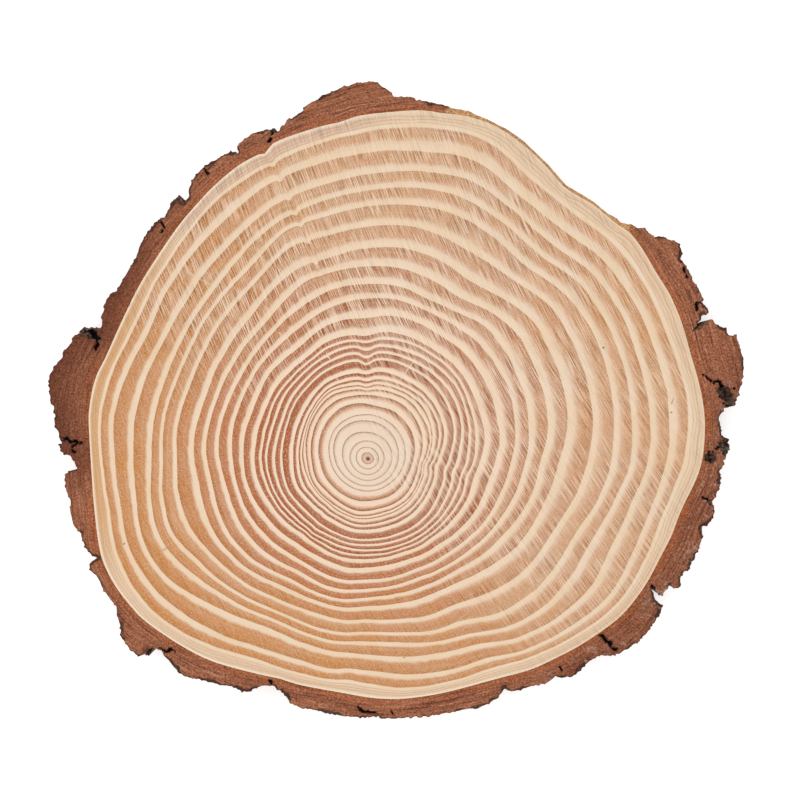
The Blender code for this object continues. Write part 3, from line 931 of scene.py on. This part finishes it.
def feed(socket, value):
    """Links a socket to a value that nodes work out, or sets it to any other."""
    if isinstance(value, Value):
        value.tree.links.new(value.socket, socket)
    else:
        socket.default_value = value


def tree_of(*values):
    return next(value.tree for value in values if isinstance(value, Value))


def object_place(tree):
    """The object's own coordinates."""
    return Place(tree, add_node(tree, "ShaderNodeTexCoord").outputs["Object"])


def joined(*parts):
    """A place made of three numbers."""
    tree = tree_of(*parts)
    return Place(tree, add_node(tree, "ShaderNodeCombineXYZ", enumerate(parts)).outputs[0])


def mixed(share, first, second, kind="MIX"):
    tree = tree_of(share, first, second)
    inputs = {0: share, 6: first, 7: second}
    node = add_node(tree, "ShaderNodeMix", inputs, data_type="RGBA", blend_type=kind)
    return Value(tree, node.outputs[2])


def coated(colour, *coats):
    """A colour with others laid over it in turn, each as far as its share says."""
    for share, coat in coats:
        colour = mixed(share, colour, coat)
    return colour


def new_group(name, inputs, outputs):
    """A node group with named number sockets: its tree, what it is given and where its results go."""
    tree = bpy.data.node_groups.new(name, "ShaderNodeTree")
    for key, value in inputs.items():
        socket = tree.interface.new_socket(key, in_out="INPUT", socket_type="NodeSocketFloat")
        socket.default_value = value
    for key in outputs:
        tree.interface.new_socket(key, in_out="OUTPUT", socket_type="NodeSocketFloat")
    sockets = tree.nodes.new("NodeGroupInput").outputs
    given = {key: Value(tree, sockets[key]) for key in inputs}
    return tree, given, tree.nodes.new("NodeGroupOutput").inputs


def make_speckle_group():
    """Fine specks of open grain: where they are light and where they are dark, from 0 to 1."""
    tree, given, results = new_group("grain_speckle", {"Scale": 1500.0}, ("Light", "Dark"))
    fine = object_place(tree).noise(given["Scale"], 2.0, 0.6)
    feed(results["Light"], fine.step(0.52, 0.68))
    feed(results["Dark"], fine.step(0.48, 0.33))


def make_patch_group():
    """Slow patches over the surface, from 0 to 1."""
    tree, given, results = new_group("slow_patches", {"Scale": 30.0, "Softness": 0.2}, ("Mask",))
    cloud = object_place(tree).noise(given["Scale"])
    feed(results["Mask"], cloud.step(0.5 - given["Softness"], given["Softness"] + 0.5))


def specks(place, scale):
    return place.group("grain_speckle", {"Scale": scale})


def patches(place, scale, softness):
    return place.group("slow_patches", {"Scale": scale, "Softness": softness})["Mask"]


def brighten(colour, brightness):
    """A colour with its brightness scaled by a value near 1."""
    return mixed(1.0, colour, joined(brightness, brightness, brightness), "MULTIPLY")


def speckled(place, colour, scale, light, dark):
    """A colour with light and dark specks of these strengths."""
    found = specks(place, scale)
    return brighten(colour, found["Light"] * light + 1.0 - found["Dark"] * dark)


def new_material(name):
    """A material with nothing but its shader, which hardly shines."""
    material = bpy.data.materials.new(name)
    material.use_nodes = True
    shader = material.node_tree.nodes["Principled BSDF"]
    shader.inputs["Specular IOR Level"].default_value = SHINE
    return material, shader


def patterned_material(name, pattern, strength, depth):
    """A material whose pattern works out its colour, roughness and relief at a place.

    The relief is a bump of this strength, and of this depth in millimetres.
    """
    material, shader = new_material(name)
    tree = material.node_tree
    colour, roughness, relief = pattern(object_place(tree))
    bump = add_node(tree, "ShaderNodeBump", {"Height": relief, "Strength": strength, "Distance": depth * MM})
    feed(shader.inputs["Base Color"], colour)
    feed(shader.inputs["Roughness"], roughness)
    feed(shader.inputs["Normal"], Place(tree, bump.outputs[0]))
    return material


# The sawn wood's pattern


def sawn_wood(place):
    """Cream early wood and orange latewood in rings, with saw scratches, rays and specks."""
    age = place.stored("ring_age")
    within = age.fraction()
    lines = growth_lines(place, age)
    late = latewood_share(place, age, within, lines)
    light_marks, dark_marks = saw_marks(place)
    found = specks(place, 1500.0)
    early = early_colour(place, age, within)
    lighter = light_marks.larger(found["Light"] * 0.5)
    late_tone = mixed(lighter, late_colour(place, age, within), early)
    colour = outer_band(place, mixed(late, early, late_tone), age, lines, lighter)
    darkness = found["Dark"] * 0.5 + dark_marks
    colour = brighten(colour, darkness * (late * -0.19 - 0.1) + 1.02)
    colour = coated(
        colour,
        (small_marks(place, PALE_MARKS), early),
        (small_marks(place, DARK_MARKS), MARK_BROWN),
        (age.step(0.2, 1.1, 0.4, 0.0), PINK),
        (age.step(0.06, 0.36, 0.95, 0.0), PITH_BROWN),
        (age.step(0.0, 0.16, 0.95, 0.0), PITH_DARK),
    )
    roughness = found["Light"] * 0.12 + 0.7 - late * 0.14
    return colour, roughness, wood_relief(place)


def early_colour(place, age, within):
    """The early wood's cream, deeper towards the bark, in paler patches, and dusky before the latewood."""
    dusky = within.step(0.2, 0.5, 0.0, 0.3) * age.step(8.0, 12.0)
    return coated(
        CORE_CREAM,
        (age.step(4.0, 9.0), CREAM),
        (age.step(14.0, 26.0), OUTER_CREAM),
        (patches(place, 70.0, 0.2) * 0.4, PALE_CREAM),
        (dusky, DUSKY_CREAM),
    )


def growth_lines(place, age):
    """Fine lines along the rings, as a noise value."""
    return (place * (9.0, 9.0, 0.0) + joined(0.0, 0.0, age * 8.0)).noise(1.0, 3.0, 0.7)


def latewood_share(place, age, within, lines):
    """How much of the latewood's colour shows: it fades in within a ring and ends at a crisp line."""
    deepening = within.step(0.5, 0.85, age.step(8.0, 11.0, 0.5, 0.86), 1.0)
    tail = within.step(0.0, 0.035, 1.0, 0.0)
    body = (latewood_rise(place, within) * deepening).larger(tail)
    lined = body * lines.step(0.28, 0.58, 0.82, 1.08)
    both = lined.larger(lines.step(0.52, 0.8, 0.02, 0.2)) * paler_sides(place, age)
    return (both * place.stored("latewood")).smaller(1.0)


def latewood_rise(place, within):
    """How far the latewood has faded in: sooner on the lower left, and more softly on the right."""
    x, y, _ = place.axes()
    blur = (place.noise(240.0, 3.0, 0.6) - 0.5) * 0.26
    lower_left = (y * -0.5 - x).step(-0.11, 0.09, -0.03, 0.07)
    right = side_share(place, RIGHT_SIDE, 0.2, 0.9)
    return (within + blur + lower_left).step(right * -0.07 + 0.38, right * 0.04 + 0.61)


def paler_sides(place, age):
    """The latewood's strength, which is lower in the wide rings at the top and on the right."""
    top = side_share(place, TOP_SIDE, 0.8, 0.98)
    lower_right = side_share(place, LOWER_RIGHT_SIDE, 0.7, 0.98)
    upper_right = side_share(place, UPPER_RIGHT_SIDE, 0.3, 0.9)
    paler = (top.larger(lower_right) * age.step(18.0, 22.0)).larger(upper_right * age.step(12.0, 17.0))
    return paler * -0.2 + 1.0


def late_colour(place, age, within):
    """The latewood's colour: brown in the narrow rings, orange round them, golden and pink further out."""
    x, y, _ = place.axes()
    upper_right = (x + y * 0.6).step(-0.02, 0.12)
    pink = pinkness(place, upper_right)
    narrow = age.step(9.0, 12.0) * age.step(16.0, 20.0, 1.0, 0.0)
    edge = within.step(0.78, 0.96) * age.step(10.5, 13.0, 0.8, 0.15) * age.step(3.0, 7.0, 0.35, 1.0)
    return coated(
        mixed(pink * 0.45, ORANGE, PINK),
        (age.step(19.0, 25.0), mixed(pink, GOLDEN, PINK)),
        (narrow * (upper_right * -0.3 + 0.8), BROWN),
        (age.step(5.6, 6.3, 1.0, 0.0), LINE_BROWN),
        (edge, LINE_DARK),
    )


def pinkness(place, upper_right):
    """How pink the latewood is, from 0 to 1: more to the upper right, in slow patches and a fine mottle."""
    mottle = place.noise(330.0, 3.0, 0.6).step(0.35, 0.68)
    pink = upper_right * 0.4 + patches(place, 26.0, 0.14) * 0.35 + (mottle - 0.5) * 0.5
    golden = side_share(place, GOLDEN_SIDE, 0.85, 0.98) * -0.75 + 1.0
    return (pink * golden).larger(0.0).smaller(1.0)


def from_pith(place):
    """The way from the pith to a place, along the sawn face."""
    return (place - (PITH.x * MM, PITH.y * MM, 0.0)) * FLAT


def side_share(place, side, low, high):
    """How far a place lies on a side of the pith: a soft step of the cosine of the angle between them."""
    return from_pith(place).facing().along(side).step(low, high)


def outer_band(place, colour, age, lines, lighter):
    """The last ring with its fine lines, and the cambium's pale line, which fades to the right."""
    last = float(len(RING_LOOKS) - 1)
    band = coated(sapwood_colour(place), (lines.step(0.42, 0.66, 0.0, 0.4), GOLDEN), (lighter * 0.6, SAPWOOD))
    wobble = (place.noise(90.0) - 0.5) * 0.3 + age
    for line, width in SAPWOOD_LINES:
        off = abs(wobble - (last + line))
        band = mixed(off.step(width * 0.4, width * 1.6, 0.38, 0.0), band, SAP_LINES)
    faded = side_share(place, GOLDEN_SIDE, 0.0, 0.8) * -0.65 + 0.8
    cambium = age.step(last + 0.82, last + 0.92) * faded
    return coated(colour, (age.step(last + 0.2, last + 0.32, 0.0, 0.85), band), (cambium, CAMBIUM))


def sapwood_colour(place):
    """The ground of the last ring: pale, golden on the left and pinker at the upper left."""
    left = side_share(place, LEFT_SIDE, 0.75, 0.95)
    upper_left = side_share(place, UPPER_LEFT_SIDE, 0.9, 0.97)
    return coated(SAPWOOD, (left, LEFT_SAPWOOD), (upper_left, TOP_SAPWOOD))


def small_marks(place, marks):
    """A few dots and short, slightly bent strokes on the sawn wood, from 0 to 1."""
    bend = (place.noise(350.0) - 0.5) * (1.6 * MM)
    bent = place * FLAT + joined(bend, bend, 0.0)
    shown = 0.0
    for x, y, half_length, half_width, turn, strength in marks:
        mark = (bent - (x * MM, y * MM, 0.0)).stretched(turn, (1 / half_length, 1 / half_width, 0.0))
        shown = mark.length().step(0.6 * MM, 1.2 * MM, strength, 0.0).larger(shown)
    return shown


def saw_marks(place):
    """Long fine scratches on arcs, with a few rays: how light and how dark they are."""
    distance = ((place - (SAW_CENTRE.x * MM, SAW_CENTRE.y * MM, 0.0)) * FLAT).length()
    along = place.along(SAW_ANGLE)
    grain = grooves(distance, along, 4000.0, 85.0)
    coarse = grooves(distance, along, 1300.0, 55.0)
    strength = scratch_strength(place)
    light = grain.step(0.51, 0.56).larger(coarse.step(0.62, 0.66, 0.0, 0.6)) * strength
    light = light.larger(cross_scratches(place)).larger(rays(place).step(0.56, 0.72, 0.0, 0.22))
    return light, grain.step(0.47, 0.43, 0.0, 1.4) * strength


def grooves(distance, along, density, length):
    """Long fine grooves at a distance from the saw's middle, as a noise value."""
    return joined(distance * density, along * length, density).noise(1.0, 1.0, 0.6)


def scratch_strength(place):
    """How strongly the scratches show: in patches, most on one side, and less near the pith."""
    side = side_share(place, SCRATCHED_SIDE, -0.45, 0.15) * 0.75 + 0.25
    patchy = patches(place, 45.0, 0.2) * 0.45 + 0.6
    rightward = place.axes()[0].step(0.02, 0.1, 1.0, 0.8)
    near = from_pith(place).length().step(0.042, 0.06, 1.0, 0.0)
    quiet = side_share(place, QUIET_SIDE, -0.1, 0.7) * 0.6 + 0.18
    return side * patchy * rightward * (1.0 - near * quiet)


def cross_scratches(place):
    """Weaker scratches the other way, on the lower right only."""
    grain = place.stretched(CROSS_ANGLE, (70.0, 1700.0, 1.0)).noise(1.0, 1.0, 0.6)
    x, y, _ = place.axes()
    return grain.step(0.57, 0.67, 0.0, 0.35) * (x - y).step(0.07, 0.13)


def rays(place):
    """Thin lines that run out from the pith, as a noise value."""
    away = from_pith(place)
    return (away.facing() + joined(0.0, 0.0, away.length() * 0.9)).noise(120.0, 2.0, 0.6)


def wood_relief(place):
    """The height of the saw's finest texture and of the pores."""
    scratches = place.stretched(SAW_ANGLE, (50.0, 1500.0, 1.0)).noise(1.0, 2.0, 0.6)
    return scratches * 0.6 + place.noise(1300.0, 2.0, 0.6) * 0.4


# The bark's patterns


def sawn_bark(place):
    """Red-brown sawn bark in thin layers, ragged and dark at its edge, weathered grey and painted with shade
    where it is broken and cracked.
    """
    x, y, _ = place.axes()
    from_wood = place.stored("from_wood")
    to_edge = place.stored("to_edge")
    clouds = patches(place, 60.0, 0.15)
    lower_right = (x - y).step(0.1, 0.16) * x.step(0.05, 0.09)
    layers = joined(from_wood * 1.7, x * 60.0, y * 60.0).noise(1.0, 4.0, 0.7)
    inner = (from_wood - clouds * 1.6).step(0.2, 2.6, 1.0, 0.0) * (lower_right * 0.4 + 0.35)
    shaded = clouds * to_edge.step(0.0, 6.0, 0.2, 0.0) + lower_right * 0.3
    left_lobe = x.step(-0.08, -0.12) * y.step(-0.045, -0.02) * to_edge.step(1.0, 12.0, 0.8, 0.3)
    curls = place.noise(330.0, 4.0, 0.7).step(0.56, 0.62, 0.0, 0.75) * to_edge.step(3.0, 9.0, 1.0, 0.0)
    bare = place.stored("thickness").step(2.2, 3.6, 0.85, 0.0) * y.step(0.05, 0.07)
    colour = coated(
        BARK_DARK,
        (layers.step(0.33, 0.5), BARK_RED),
        (layers.step(0.54, 0.7, 0.0, 0.9), BARK_PINK),
        (inner, INNER_BARK),
        (shaded, BARK_DARK),
        (rim_share(place, to_edge), CHARCOAL_AND_SHADE),
        (left_lobe, BARK_DARK),
        (curls * lower_right, FLAKE_GREY),
        (bare, BARE_BARK),
    )
    colour = speckled(place, broken_bark_and_shade(place, colour), 1400.0, 0.6, 0.5)
    return colour, layers.step(0.35, 0.7, 0.92, 0.76), layers


def rim_share(place, to_edge):
    """How far the dark of the outer bark shows at the ragged edge of the sawn face."""
    reach = (place.noise(130.0) - 0.5) * 6.0 + place.noise(700.0, 2.0, 0.6) * 0.9
    return (reach - to_edge).step(-0.3, 0.4, 0.0, 0.85)


def broken_bark_and_shade(place, colour):
    """Painted black shade in the cracks, and a mottle of weathered grey and painted black shade where a plate
    broke away below the sawn face.
    """
    # painted black shade mottled with the real weathered grey, shown where the surface lies deeper below the
    # sawn face
    weathered_grey_and_shade = mixed(place.noise(620.0, 3.0, 0.65).step(0.38, 0.6), SHADE_BLACK, WEATHERED)
    sunk = (place.noise(260.0, 3.0, 0.6) - 0.5) * 5.0 + place.stored("sunk")
    # painted shade: black along the cracks
    crack = place.stored("crack").step(0.25, 0.7)
    return coated(colour, (sunk.step(0.9, 2.0, 0.0, 0.92), weathered_grey_and_shade), (crack, SHADE_BLACK))


def bark_side(place):
    """Weathered bark: grey-brown ridges, red-brown flakes where it broke, and painted shade darkening the
    furrows that lie furthest in.
    """
    flakes = place.stretched(0.0, (230.0, 230.0, 120.0)).noise(1.0, 5.0, 0.7)
    # painted shade: the side darkens where it lies further in from the bark's edge above
    furrow_shade = (place.noise(210.0, 3.0, 0.6) - 0.5) * 6.0 + place.stored("fall")
    colour = coated(
        BARK_DARK,
        (flakes.step(0.38, 0.56), BARK_GREY),
        (patches(place, 90.0, 0.12) * 0.7, RIDGE_GREY),
        (place.noise(120.0, 3.0, 0.6).step(0.55, 0.64, 0.0, 0.75), BARK_RED),
        (furrow_shade.step(1.2, 3.4, 0.0, 0.85), CHARCOAL_AND_SHADE),
    )
    return speckled(place, colour, 1200.0, 0.4, 0.45), flakes.step(0.35, 0.65, 0.97, 0.84), flakes


# The studio


def build_floor():
    bpy.ops.object.select_all(action="DESELECT")
    bpy.ops.mesh.primitive_plane_add(size=FLOOR_WIDTH * MM, location=(0.0, 0.0, 0.0))
    floor = bpy.context.object
    floor.name = "floor"
    material, shader = new_material("floor_white")
    shader.inputs["Base Color"].default_value = FLOOR_WHITE
    shader.inputs["Roughness"].default_value = 0.9
    shader.inputs["Emission Color"].default_value = WHITE
    shader.inputs["Emission Strength"].default_value = FLOOR_GLOW
    floor.data.materials.append(material)


def build_light():
    """Soft light from all round, and a wide lamp at the upper left."""
    scene = bpy.context.scene
    scene.view_settings.view_transform = "Standard"
    world = bpy.data.worlds.new("studio")
    world.use_nodes = True
    background = world.node_tree.nodes["Background"]
    background.inputs["Color"].default_value = WHITE
    background.inputs["Strength"].default_value = ROOM_LIGHT
    scene.world = world
    lamp = bpy.data.lights.new("soft_lamp", "AREA")
    lamp.size = LAMP_WIDTH * MM
    lamp.energy = LAMP_LIGHT
    lamp_object = bpy.data.objects.new("soft_lamp", lamp)
    lamp_object.location = LAMP_PLACE * MM
    lamp_object.rotation_euler = (-LAMP_PLACE).to_track_quat("-Z", "Y").to_euler()
    scene.collection.objects.link(lamp_object)


def build_camera():
    """Straight down on the slice, so high that the picture has its width at the sawn face."""
    camera = bpy.data.cameras.new("camera")
    camera.lens = 100.0
    camera.sensor_width = 36.0
    camera_object = bpy.data.objects.new("camera", camera)
    height = (TOP + PICTURE_WIDTH * camera.lens / camera.sensor_width) * MM
    camera_object.location = (PICTURE_MIDDLE.x * MM, PICTURE_MIDDLE.y * MM, height)
    bpy.context.scene.collection.objects.link(camera_object)
    bpy.context.scene.camera = camera_object


build_camera()
make_speckle_group()
make_patch_group()
wood_edge_line = wood_edge_points()
build_sawn_wood(wood_edge_line)
build_bark(wood_edge_line)
build_floor()
build_light()
